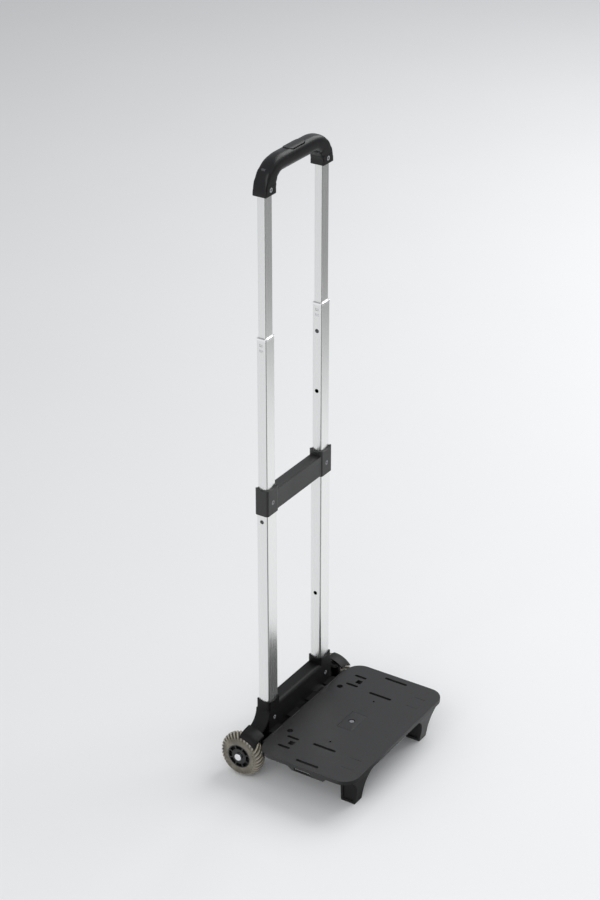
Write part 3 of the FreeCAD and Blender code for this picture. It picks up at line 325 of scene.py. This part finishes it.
def castUrethane(name):
    material, tree, shader = startMaterial(name)
    shader.inputs["IOR"].default_value = 1.5
    shader.inputs["Transmission Weight"].default_value = 0.25
    shader.inputs["Subsurface Weight"].default_value = 0.25
    shader.inputs["Subsurface Radius"].default_value = (0.004, 0.0035, 0.0025)
    place = addNode(tree, "ShaderNodeTexCoord")
    clouds = addNode(tree, "ShaderNodeTexNoise", {"Vector": place.outputs["Object"], "Scale": 55.0, "Detail": 3.0,
                                                  "Distortion": 0.6})
    ramp = addNode(tree, "ShaderNodeValToRGB", {"Fac": clouds.outputs["Fac"]})
    ramp.color_ramp.elements[0].position = 0.35
    ramp.color_ramp.elements[0].color = (0.15, 0.135, 0.105, 1)
    ramp.color_ramp.elements[1].position = 0.68
    ramp.color_ramp.elements[1].color = (0.30, 0.275, 0.215, 1)
    # painted highlight and shade: the ridges between the tread's grooves are painted light where they catch the
    # light, the grooves painted dark as shade
    at = addNode(tree, "ShaderNodeSeparateXYZ", {"Vector": place.outputs["Object"]})
    dy = addNode(tree, "ShaderNodeMath", {0: at.outputs["Y"], 1: tread["y"]}, operation="SUBTRACT")
    dz = addNode(tree, "ShaderNodeMath", {0: at.outputs["Z"], 1: tread["z"]}, operation="SUBTRACT")
    angle = addNode(tree, "ShaderNodeMath", {0: dy.outputs[0], 1: dz.outputs[0]}, operation="ARCTAN2")
    outward = addNode(tree, "ShaderNodeMath", {0: at.outputs["X"]}, operation="ABSOLUTE")
    across = addNode(tree, "ShaderNodeMath", {0: outward.outputs[0], 1: tread["x"]}, operation="SUBTRACT")
    lead = addNode(tree, "ShaderNodeMath", {0: across.outputs[0], 1: tread["lead"], 2: angle.outputs[0]},
                   operation="MULTIPLY_ADD")
    phase = addNode(tree, "ShaderNodeMath", {0: lead.outputs[0], 1: float(tread["grooves"])}, operation="MULTIPLY")
    wave = addNode(tree, "ShaderNodeMath", {0: phase.outputs[0]}, operation="COSINE")
    paintedRidgeHighlight = addNode(tree, "ShaderNodeMapRange", {"Value": wave.outputs[0], "From Min": 0.5, "From Max": -0.9,
                                                 "To Min": 0.0, "To Max": 1.0})
    flat = addNode(tree, "ShaderNodeCombineXYZ", {"Y": dy.outputs[0], "Z": dz.outputs[0]})
    radius = addNode(tree, "ShaderNodeVectorMath", {0: flat.outputs[0]}, operation="LENGTH")
    rim = addNode(tree, "ShaderNodeMapRange", {"Value": radius.outputs["Value"],
                                               "From Min": tread["stripeInner"],
                                               "From Max": tread["stripeOuter"]})
    # painted shade in the grooves, painted highlight on the ridges, laid on the tread's outer band
    paintedTreadLight = addNode(tree, "ShaderNodeMixRGB", {"Fac": paintedRidgeHighlight.outputs["Result"],
                                                "Color1": (0.075, 0.066, 0.050, 1),
                                                "Color2": (0.50, 0.46, 0.37, 1)})
    skin = addNode(tree, "ShaderNodeMixRGB", {"Fac": rim.outputs["Result"], "Color1": ramp.outputs["Color"],
                                              "Color2": paintedTreadLight.outputs["Color"]})
    tree.links.new(skin.outputs["Color"], shader.inputs["Base Color"])
    gloss = addNode(tree, "ShaderNodeMapRange", {"Value": clouds.outputs["Fac"], "To Min": 0.14, "To Max": 0.26})
    tree.links.new(gloss.outputs["Result"], shader.inputs["Roughness"])
    relief = addNode(tree, "ShaderNodeBump", {"Height": clouds.outputs["Fac"], "Strength": 0.25,
                                              "Distance": 0.0006})
    tree.links.new(relief.outputs["Normal"], shader.inputs["Normal"])
    return material


def sealedBearing(name):
    material, tree, shader = startMaterial(name)
    place = addNode(tree, "ShaderNodeTexCoord")
    across = addNode(tree, "ShaderNodeSeparateXYZ", {"Vector": place.outputs["Object"]})
    y = addNode(tree, "ShaderNodeMath", {0: across.outputs["Y"], 1: tread["y"]}, operation="SUBTRACT")
    z = addNode(tree, "ShaderNodeMath", {0: across.outputs["Z"], 1: tread["z"]}, operation="SUBTRACT")
    flat = addNode(tree, "ShaderNodeCombineXYZ", {"Y": y.outputs[0], "Z": z.outputs[0]})
    radius = addNode(tree, "ShaderNodeVectorMath", {0: flat.outputs[0]}, operation="LENGTH")
    inside = addNode(tree, "ShaderNodeMath", {0: radius.outputs["Value"], 1: 0.0050}, operation="GREATER_THAN")
    colour = addNode(tree, "ShaderNodeMixRGB", {"Fac": inside.outputs[0], "Color1": (0.55, 0.55, 0.56, 1),
                                                "Color2": (0.012, 0.012, 0.012, 1)})
    metal = addNode(tree, "ShaderNodeMath", {0: 1.0, 1: inside.outputs[0]}, operation="SUBTRACT")
    tree.links.new(colour.outputs["Color"], shader.inputs["Base Color"])
    tree.links.new(metal.outputs[0], shader.inputs["Metallic"])
    shader.inputs["Roughness"].default_value = 0.35
    return material


finishes = {
    "base_plastic": mouldedPlastic("satinBlackBase", (0.003, 0.003, 0.0033), 0.46, 1500, 0.25, 1.25, 0.24),
    "brace_plastic": mouldedPlastic("satinBlackBrace", (0.018, 0.018, 0.018), 0.46, 1500, 0.25),
    "deck_plastic": mouldedPlastic("charcoalDeck", (0.013, 0.013, 0.0135), 0.45, 1800, 0.30, 1.15),
    "handle_plastic": mouldedPlastic("polishedBlackHandle", (0.005, 0.005, 0.0055), 0.33, 900, 0.08, 1.25, 0.38),
    "button_plastic": mouldedPlastic("polishedBlackButton", (0.007, 0.007, 0.0075), 0.38, 900, 0.08, 1.25, 0.42),
    "inner_plastic": mouldedPlastic("plainInnerPlastic", (0.05, 0.05, 0.055), 0.5, 900, 0.2),
    "hub_plastic": mouldedPlastic("blackHub", (0.008, 0.008, 0.009), 0.35, 1200, 0.12),
    "tube_aluminium": drawnMetal("anodisedAluminium", (0.80, 0.80, 0.79), 0.24, 1400, 6, 0.25),
    "cap_metal": drawnMetal("brightCap", (0.90, 0.90, 0.90), 0.12, 600, 600, 0.05),
    "bearing_steel": sealedBearing("sealedBearing"),
    "axle_steel": drawnMetal("blackenedSteel", (0.10, 0.10, 0.105), 0.30, 900, 900, 0.1),
    "zinc_steel": drawnMetal("brightZinc", (0.85, 0.86, 0.88), 0.20, 700, 700, 0.15),
    "dark_steel": drawnMetal("dullDarkPlate", (0.30, 0.30, 0.31), 0.36, 700, 700, 0.15),
    "spring_steel": drawnMetal("springWire", (0.5, 0.5, 0.5), 0.3, 900, 900, 0.1),
    "tyre_urethane": castUrethane("smokyUrethane"),
}
slotOf = {row["node"]: row["material_slot"] for row in frame["record"]["subparts"]}
bodyOf = {node: body for body, members in frame["record"]["behaviour"]["bodies"].items() for node in members}
for node, piece in frame["nodes"].items():
    piece.data.materials.clear()
    piece.data.materials.append(finishes[slotOf[node]])


def stand(piece, node):
    slot = slotOf[node]
    return finishPiece(piece, finishes[slot], bodyOf[node], slot, node)


def joined(name, pieces):
    clearSelection()
    for piece in pieces:
        piece.select_set(True)
    bpy.context.view_layer.objects.active = pieces[0]
    bpy.ops.object.join()
    whole = bpy.context.object
    whole.name = name
    whole.data.name = name
    return whole


def turned(piece, angle, axis, centre):
    useOnly(piece)
    bpy.ops.object.mode_set(mode="EDIT")
    bpy.ops.mesh.select_all(action="SELECT")
    bpy.ops.transform.rotate(value=angle, orient_axis=axis, center_override=centre)
    bpy.ops.object.mode_set(mode="OBJECT")
    return piece


print("handle")

handle = {
    "postX": 0.070, "y": 0.0684, "depth": 0.0216,
    "blockInner": 0.0574, "blockOuter": 0.083, "blockLow": 0.8857,
    "bendX": 0.0404, "bendZ": 0.893, "gripTop": 0.9336, "gripLow": 0.910, "swell": 1.045,
    "seamZ": 0.8986, "seam": 0.0004, "seamDepth": 0.0004,
    "wellLength": 0.0418, "wellWidth": 0.0174, "wellLow": 0.9233,
    "crown": 0.0193, "buttonTop": 0.9345,
    "screwZ": 0.8935, "recess": 0.0036, "recessReach": 0.0049, "recessAhead": 0.004,
    "wayX": 0.0088, "wayY": 0.0064, "wayLow": 0.88, "wayTop": 0.8937,
    "shellReach": 0.02, "halfBlock": 0.0128,
}


def stadium(name, y, length, width, low, high):
    radius = width / 2
    middle = block(name, (-length / 2 + radius, y - radius, low), (length / 2 - radius, y + radius, high))
    for side in (-1, 1):
        unite(middle, rod(name + "End", "z", (side * (length / 2 - radius), y, low), high - low, radius, 40))
    return middle


def makeGrip():
    y, half = handle["y"], handle["depth"] / 2
    low, bendZ, bendX = handle["blockLow"], handle["bendZ"], handle["bendX"]
    clearSelection()
    bpy.ops.mesh.primitive_plane_add(size=1, location=((handle["blockInner"] + handle["blockOuter"]) / 2, y, low))
    grip = bpy.context.object
    grip.scale = (handle["blockOuter"] - handle["blockInner"], handle["depth"], 1)
    settle(grip, "gripShell")
    useOnly(grip)
    bpy.ops.object.mode_set(mode="EDIT")
    bpy.ops.mesh.select_all(action="SELECT")
    bpy.ops.mesh.extrude_region_move(TRANSFORM_OT_translate={"value": (0, 0, bendZ - low)})
    bpy.ops.mesh.spin(steps=4, angle=math.pi / 2, center=(bendX, y, bendZ), axis=(0, 1, 0))
    for step in (0.006, bendX - 0.006):
        bpy.ops.mesh.extrude_region_move(TRANSFORM_OT_translate={"value": (-step, 0, 0)})
    bpy.ops.mesh.delete(type="FACE")
    bpy.ops.object.mode_set(mode="OBJECT")
    # the section swells where its corners are soft, and comes down to the grip's own height
    height = handle["gripTop"] - handle["gripLow"]
    for vertex in grip.data.vertices:
        x, z = vertex.co.x - bendX, vertex.co.z - bendZ
        if z < 0.0001:
            continue
        turn = math.degrees(math.atan2(z, x)) / 90 if x > 0.0001 else 1.0
        swell = 1 + (handle["swell"] - 1) * min(1, turn * 1.3)
        wanted = (1 - turn) * (handle["blockOuter"] - handle["blockInner"]) + turn * height
        inner = handle["blockInner"] - bendX
        away = math.hypot(x, z) if x > 0.0001 else z
        place = inner + wanted / 2 + (wanted / 2 if away > inner + 0.01 else -wanted / 2) * swell
        if x > 0.0001:
            vertex.co.x, vertex.co.z = bendX + x * place / away, bendZ + z * place / away
        else:
            vertex.co.z = bendZ + place
        vertex.co.y = y + (vertex.co.y - y) * swell
    modify(grip, "MIRROR", use_axis=(True, False, False), use_clip=True, merge_threshold=0.00005)
    useOnly(grip)
    bpy.ops.object.mode_set(mode="EDIT")
    bpy.ops.mesh.select_all(action="SELECT")
    bpy.ops.mesh.normals_make_consistent(inside=False)
    bpy.ops.object.mode_set(mode="OBJECT")
    creases = grip.data.attributes.new("crease_edge", "FLOAT", "EDGE")
    for edge in grip.data.edges:
        a, b = (grip.data.vertices[i].co for i in edge.vertices)
        across = abs(a.y - b.y) > 0.01 or math.hypot(abs(a.x) - abs(b.x), a.z - b.z) > 0.015 and (
            abs(math.atan2(a.z - bendZ, abs(a.x) - bendX) - math.atan2(b.z - bendZ, abs(b.x) - bendX)) < 0.05)
        if a.z < bendZ + 0.0001 and b.z < bendZ + 0.0001:
            creases.data[edge.index].value = 0.62 if not across or max(a.z, b.z) < low + 0.0001 else 0
        elif not across and min(abs(a.x), abs(b.x)) > bendX + 0.0001:
            turn = math.degrees(math.atan2((a.z + b.z) / 2 - bendZ, (abs(a.x) + abs(b.x)) / 2 - bendX)) / 90
            creases.data[edge.index].value = max(0.24, 0.56 - 0.42 * turn)
        elif not across:
            creases.data[edge.index].value = 0.24
    modify(grip, "SUBSURF", levels=4, render_levels=4)
    well = stadium("buttonWell", y, handle["wellLength"], handle["wellWidth"], handle["wellLow"], 0.94)
    tools = [well]
    for name, side in sides:
        x = side * handle["postX"]
        tools.append(block("tubeWay", (x - handle["wayX"], y - handle["wayY"], handle["wayLow"]),
                           (x + handle["wayX"], y + handle["wayY"], handle["wayTop"])))
        tools.append(rod("screwRecess", "y", (x, y - half - handle["recessAhead"], handle["screwZ"]),
                         handle["recessReach"], handle["recess"], 40))
        seamLow = handle["seamZ"]
        reach = handle["shellReach"]
        shell = block("blockSeam", (x - reach, y - reach, seamLow), (x + reach, y + reach, seamLow + handle["seam"]))
        coreX, coreY = handle["halfBlock"] - handle["seamDepth"], half - handle["seamDepth"]
        core = block("seamCore", (x - coreX, y - coreY, seamLow - 0.001), (x + coreX, y + coreY, seamLow + 0.002))
        turnedX = side * (handle["blockInner"] + handle["blockOuter"]) / 2 - x
        for piece in (shell, core):
            piece.data.transform(Matrix.Translation((turnedX, 0, 0)))
        subtract(shell, core)
        tools.append(shell)
    subtract(grip, *tools)
    smooth(grip, 38)
    return grip


stand(makeGrip(), "handle_grip")
stand(softCopy("handle_cover", "gripCover", 0.0004), "handle_cover")

button = softCopy("release_button", "releaseThumb", 0)
modify(button, "BOOLEAN", operation="INTERSECT", solver="EXACT",
       object=rod("crownTool", "x", (-0.05, handle["y"], handle["buttonTop"] - handle["crown"]), 0.1,
                  handle["crown"], 128))
bpy.data.objects.remove(bpy.data.objects["crownTool"])
modify(button, "BEVEL", width=0.0007, segments=3, limit_method="ANGLE", angle_limit=math.radians(40))
smooth(button, 38)
stand(button, "release_button")

print("tubes and caps")

stamp = {"heights": (0.6652, 0.6733), "width": 0.0058, "height": 0.0042, "line": 0.0007, "depth": 0.0004,
         "bars": 2, "face": 0.0106}


def stampTool(x, y, z):
    # a small ladder-shaped outline, across the tube's side wall
    half, rise, line = stamp["width"] / 2, stamp["height"] / 2, stamp["line"]
    depth = stamp["depth"]
    lows = [-rise, rise - line] + [-rise + (i + 1) * stamp["height"] / (stamp["bars"] + 1)
                                   for i in range(stamp["bars"])]
    pieces = [block("stampBar", (x - depth, y - half, z + low), (x + depth, y + half, z + low + line))
              for low in lows]
    for low in (-half, half - line):
        pieces.append(block("stampPost", (x - depth, y + low, z - rise), (x + depth, y + low + line, z + rise)))
    return pieces


for name, side in sides:
    for stage in ("lower", "middle", "upper"):
        node = f"{stage}_tube_{name}"
        piece = softCopy(node, f"{stage}Tube{name.title()}", 0.00018, 2, 50)
        if stage == "middle":
            for z in stamp["heights"]:
                for facing in (-1, 1):
                    subtract(piece, *stampTool(side * handle["postX"] + facing * stamp["face"], handle["y"], z))
            smooth(piece, 35)
        stand(piece, node)
    stand(softCopy(f"middle_cap_{name}", f"middleCap{name.title()}", 0.00035, 3, 45), f"middle_cap_{name}")

print("cross brace")

brace = {"edge": 0.0009, "seamY": 0.0612, "seamWidth": 0.0010, "top": 0.447, "seamDepth": 0.0014,
         "halfBar": 0.0557}
crossBrace = softCopy("cross_brace", "braceBody", brace["edge"], 3)
subtract(crossBrace, block("braceSeam", (-brace["halfBar"], brace["seamY"], brace["top"] - brace["seamDepth"]),
                           (brace["halfBar"], brace["seamY"] + brace["seamWidth"], brace["top"] + 0.002)))
smooth(crossBrace)
stand(crossBrace, "cross_brace")

print("base frame")

base = {"edge": 0.0009}
stand(softCopy("base_frame", "baseBody", base["edge"], 3), "base_frame")

print("platform")

deck = {
    "edge": 0.00035, "top": 0.0595, "line": 0.0005, "depth": 0.0005,
    "cornerX": (0.079, 0.104), "cornerY": (-0.0956, -0.0776),
    "panelX": 0.022, "panelY": (-0.0446, -0.0196),
}


def deckLine(x0, y0, x1, y1):
    low, wide = deck["top"] - deck["depth"], deck["line"] / 2
    return block("deckLine", (min(x0, x1) - wide, min(y0, y1) - wide, low),
                 (max(x0, x1) + wide, max(y0, y1) + wide, deck["top"] + 0.002))


platform = softCopy("platform_deck", "platformBody", deck["edge"], 3)
lines = []
for side in (-1, 1):
    inner, outer = (side * x for x in deck["cornerX"])
    near, far = deck["cornerY"]
    lines += [deckLine(inner, near, outer, near), deckLine(inner, near, inner, far),
              deckLine(outer, near, outer, far)]
panelNear, panelFar = deck["panelY"]
lines += [deckLine(-deck["panelX"], panelNear, deck["panelX"], panelNear),
          deckLine(-deck["panelX"], panelFar, deck["panelX"], panelFar),
          deckLine(-deck["panelX"], panelNear, -deck["panelX"], panelFar),
          deckLine(deck["panelX"], panelNear, deck["panelX"], panelFar)]
subtract(platform, *lines)
smooth(platform)
stand(platform, "platform_deck")
for name, side in sides:
    stand(softCopy(f"front_foot_{name}", f"frontFoot{name.title()}", 0.0008, 3), f"front_foot_{name}")

print("wheels")

wheel = {
    "x": tread["x"], "y": tread["y"], "z": tread["z"], "grooves": tread["grooves"],
    "groove": (0.030, 0.0024, 0.014),
    "core": (0.955, 0.963, 0.963),
    "slant": math.radians(34), "grooveRadius": 0.031, "hubHole": 0.0187, "hubReach": 0.04,
}


def treadTool(x):
    cutters = []
    for number in range(wheel["grooves"]):
        centre = Vector((x, wheel["y"], wheel["z"] + wheel["grooveRadius"]))
        half = Vector(wheel["groove"]) / 2
        cutter = block("treadCut", centre - half, centre + half)
        turned(cutter, wheel["slant"] if x > 0 else -wheel["slant"], "Z", centre)
        turned(cutter, number * 2 * math.pi / wheel["grooves"], "X", (x, wheel["y"], wheel["z"]))
        cutters.append(cutter)
    return joined("treadTool", cutters)


def makeTyre(node, name, x):
    tyre = softCopy(node, name, 0)
    core = softCopy(node, "tyreCore", 0)
    centre = Vector((x, wheel["y"], wheel["z"]))
    thin = Matrix.Diagonal((*wheel["core"], 1))
    core.data.transform(Matrix.Translation(centre) @ thin @ Matrix.Translation(-centre))
    start = x - wheel["hubReach"] / 2
    hole = rod("hubHole", "x", (start, wheel["y"], wheel["z"]), wheel["hubReach"], wheel["hubHole"], 96)
    subtract(core, hole)
    subtract(tyre, treadTool(x))
    unite(tyre, core)
    modify(tyre, "BEVEL", width=0.0003, segments=1, limit_method="ANGLE", angle_limit=math.radians(40))
    smooth(tyre, 32)
    return tyre


for name, side in sides:
    x = side * wheel["x"]
    stand(makeTyre(f"tyre_{name}", f"tyre{name.title()}", x), f"tyre_{name}")
    stand(softCopy(f"hub_{name}", f"hub{name.title()}", 0.0004, 2), f"hub_{name}")
    stand(softCopy(f"wheel_bearings_{name}", f"bearings{name.title()}", 0.0003, 2), f"wheel_bearings_{name}")
stand(softCopy("axle_caps", "axleCaps", 0.0008, 3), "axle_caps")
stand(softCopy("axle_washers", "axleWashers", 0.00015, 1), "axle_washers")

print("screws and rivet")

screw = {"y": {"brace_screws": 0.0575, "base_screws": 0.0571, "handle_screws": 0.0576},
         "z": {"brace_screws": 0.432, "base_screws": 0.075, "handle_screws": 0.8935},
         "names": {"brace_screws": "braceScrews", "base_screws": "baseScrews", "handle_screws": "handleScrews"},
         "slot": 0.0010, "reach": 0.0021, "depth": 0.0014, "sunk": 0.0002}
for node, name in screw["names"].items():
    heads = softCopy(node, name, 0)
    y, z = screw["y"][node], screw["z"][node]
    cuts = [block("headLevel", (-0.08, y - 0.004, z - 0.01), (0.08, y + screw["sunk"], z + 0.01))]
    for side in (-1, 1):
        x = side * handle["postX"]
        for along, up in ((screw["reach"], screw["slot"] / 2), (screw["slot"] / 2, screw["reach"])):
            cuts.append(block("driveSlot", (x - along, y - 0.002, z - up), (x + along, y + screw["depth"], z + up)))
    subtract(heads, *cuts)
    modify(heads, "BEVEL", width=0.0003, segments=2, limit_method="ANGLE", angle_limit=math.radians(40))
    smooth(heads)
    stand(heads, node)
stand(softCopy("deck_rivet", "deckRivet", 0.0003, 3), "deck_rivet")
